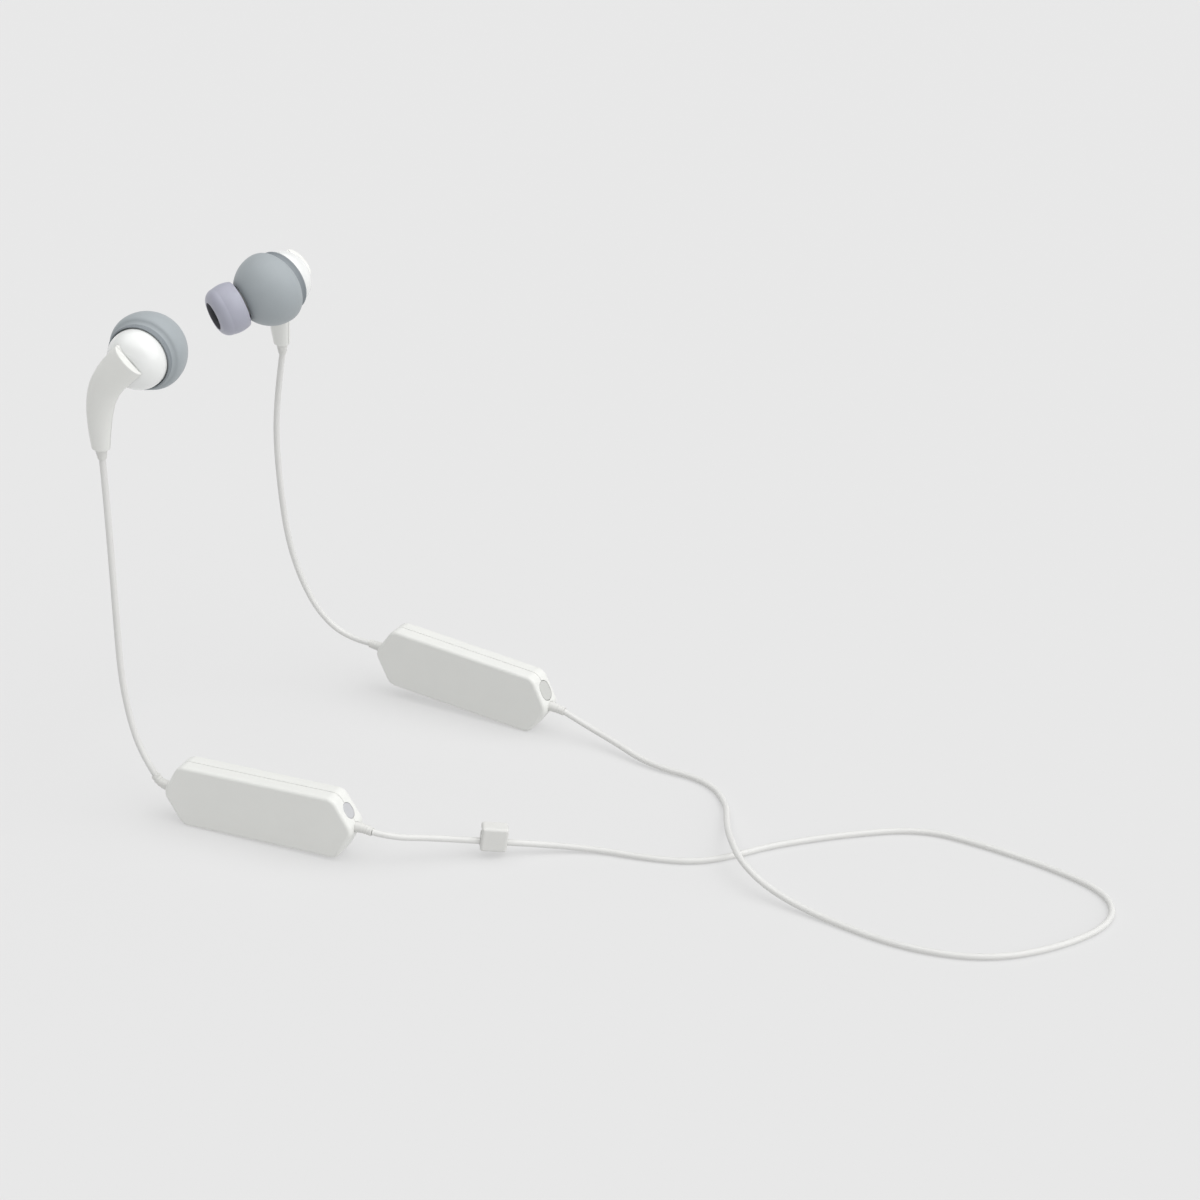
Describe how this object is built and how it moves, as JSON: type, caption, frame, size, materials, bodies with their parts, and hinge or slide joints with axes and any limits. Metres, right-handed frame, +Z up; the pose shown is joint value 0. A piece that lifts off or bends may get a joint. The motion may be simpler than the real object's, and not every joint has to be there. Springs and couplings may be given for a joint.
{
  "type": "neckband earphones",
  "caption": "Neckband earphones: earbuds that turn on curved stems, an in-line control module and battery module, and a keeper that slides on the cord behind the neck.",
  "frame": {"origin": "the middle of the wearer's head, halfway between the earbuds, where the head holds the part up", "axes": "+X towards the wearer's back, +Y to the wearer's right, +Z up along the head mount's axis"},
  "size_m": [0.2385, 0.0916, 0.1301],
  "materials": {
    "stem_shell": "fine satin moulding",
    "cap_white": "smooth semi-gloss",
    "steel": "plain",
    "magnet": "nickel plate",
    "enhancer_silicone": "soft matt silicone",
    "tip_silicone": "translucent matt silicone",
    "film": "thin film",
    "dark_mesh": "woven, blackened",
    "cord_jacket": "matt silicone jacket",
    "soft_boot": "matt",
    "module_shell": "fine satin moulding",
    "seal_rubber": "matt",
    "status_lens": "smoked, smooth",
    "battery_wrap": "foil pouch",
    "circuit_board": "solder mask",
    "port_metal": "plain",
    "flap_rubber": "matt",
    "button_cap": "satin",
    "keeper_rubber": "matt"
  },
  "bodies": {
    "root": {"left_stem_outer": "stem_shell", "left_stem_inner": "stem_shell", "left_pivot_pin": "steel", "left_strain_relief": "soft_boot", "left_ear_cord": "cord_jacket", "left_front_boot": "soft_boot", "left_rear_boot": "soft_boot", "left_shell_left": "module_shell", "left_shell_right": "module_shell", "left_seal": "seal_rubber", "right_stem_outer": "stem_shell", "right_stem_inner": "stem_shell", "right_pivot_pin": "steel", "right_strain_relief": "soft_boot", "right_ear_cord": "cord_jacket", "right_front_boot": "soft_boot", "right_rear_boot": "soft_boot", "right_shell_left": "module_shell", "right_shell_right": "module_shell", "right_seal": "seal_rubber", "left_status_light": "status_lens", "left_battery": "battery_wrap", "left_charge_board": "circuit_board", "right_charge_socket": "port_metal", "right_main_board": "circuit_board", "right_button_mat": "seal_rubber", "right_microphone": "steel", "neck_cord": "cord_jacket"},
    "left_bud": {"left_rear_cap": "cap_white", "left_housing": "cap_white", "left_enhancer": "enhancer_silicone", "left_driver_basket": "steel", "left_driver_magnet": "magnet", "left_diaphragm": "film", "left_nozzle_mesh": "dark_mesh"},
    "left_tip": {"left_ear_tip": "tip_silicone"},
    "right_bud": {"right_rear_cap": "cap_white", "right_housing": "cap_white", "right_enhancer": "enhancer_silicone", "right_driver_basket": "steel", "right_driver_magnet": "magnet", "right_diaphragm": "film", "right_nozzle_mesh": "dark_mesh"},
    "right_tip": {"right_ear_tip": "tip_silicone"},
    "keeper": {"cord_keeper": "keeper_rubber"},
    "port_flap": {"right_port_flap": "flap_rubber"},
    "volume_up": {"right_volume_up_button": "button_cap"},
    "play": {"right_play_button": "button_cap"},
    "volume_down": {"right_volume_down_button": "button_cap"}
  },
  "joints": [
    {"name": "left_bud_turn", "type": "hinge", "parent": "root", "child": "left_bud", "pos_m": [-0.00037, -0.02679, 0.0008], "axis": [-0.1134, 0.9931, 0.0295], "range_deg": [0, 180]},
    {"name": "right_bud_turn", "type": "hinge", "parent": "root", "child": "right_bud", "pos_m": [0, 0.0263, -0.0009], "axis": [0.199, 0.9582, 0.2055], "range_deg": [0, 180]},
    {"name": "left_tip_pull", "type": "slide", "parent": "left_bud", "child": "left_tip", "axis": [-0.4073, 0.874, -0.2651], "range_m": [0, 0.009]},
    {"name": "right_tip_pull", "type": "slide", "parent": "right_bud", "child": "right_tip", "axis": [-0.5755, -0.7635, -0.2932], "range_m": [0, 0.009]},
    {"name": "keeper_slide", "type": "slide", "parent": "root", "child": "keeper", "axis": [0.8454, 0.5171, -0.1341], "range_m": [-0.0075, 0.004]},
    {"name": "port_flap_hinge", "type": "hinge", "parent": "root", "child": "port_flap", "pos_m": [0.06408, 0.04579, -0.10555], "axis": [-0.0523, -0.9986, 0], "range_deg": [0, 110]},
    {"name": "volume_up_press", "type": "slide", "parent": "root", "child": "volume_up", "axis": [-0.0523, -0.9986, 0], "range_m": [0, 0.00035], "stiffness_N_per_m": 1500},
    {"name": "play_press", "type": "slide", "parent": "root", "child": "play", "axis": [-0.0523, -0.9986, 0], "range_m": [0, 0.00035], "stiffness_N_per_m": 1500},
    {"name": "volume_down_press", "type": "slide", "parent": "root", "child": "volume_down", "axis": [-0.0523, -0.9986, 0], "range_m": [0, 0.00035], "stiffness_N_per_m": 1500}
  ]
}
